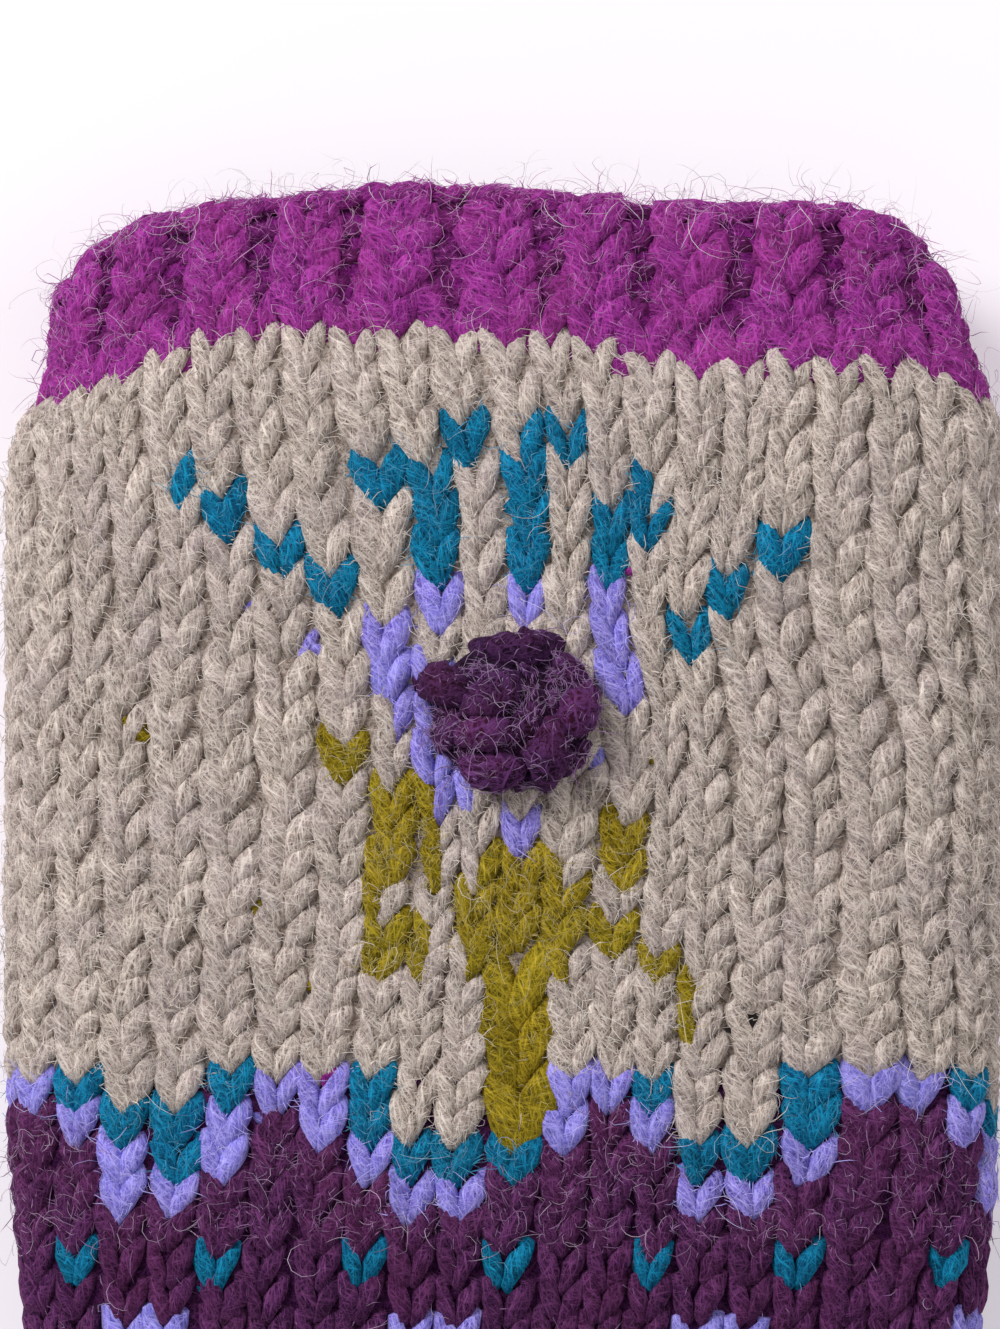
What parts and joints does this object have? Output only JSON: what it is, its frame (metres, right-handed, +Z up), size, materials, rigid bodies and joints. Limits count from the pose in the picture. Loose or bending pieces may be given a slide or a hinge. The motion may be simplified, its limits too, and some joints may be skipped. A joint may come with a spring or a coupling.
{
  "type": "fingerless mitten",
  "caption": "Hand-knitted wool fingerless mitten lying flat, with ribbed finger and wrist edges, a colourwork flower with a raised bobble and a patterned band.",
  "frame": {"origin": "on the surface that the mitten lies on, under the middle of its outline", "axes": "+Y towards the fingers, +Z up out of the back of the hand, +X across the hand"},
  "size_m": [0.1002, 0.188, 0.0286],
  "materials": {
    "magenta_wool": "knitted wool, fuzzy",
    "taupe_wool": "heathered knitted wool, fuzzy",
    "plum_wool": "knitted wool bobble, fuzzy",
    "teal_wool": "stranded colourwork wool, fuzzy",
    "lavender_wool": "stranded colourwork wool, fuzzy",
    "olive_wool": "stranded colourwork wool, fuzzy"
  },
  "bodies": {
    "root": {"finger_rib": "magenta_wool", "hand_body": "taupe_wool", "thumb_edge": "taupe_wool", "flower_bobble": "plum_wool", "pattern_band": "teal_wool", "wrist_rib": "magenta_wool"}
  },
  "joints": []
}
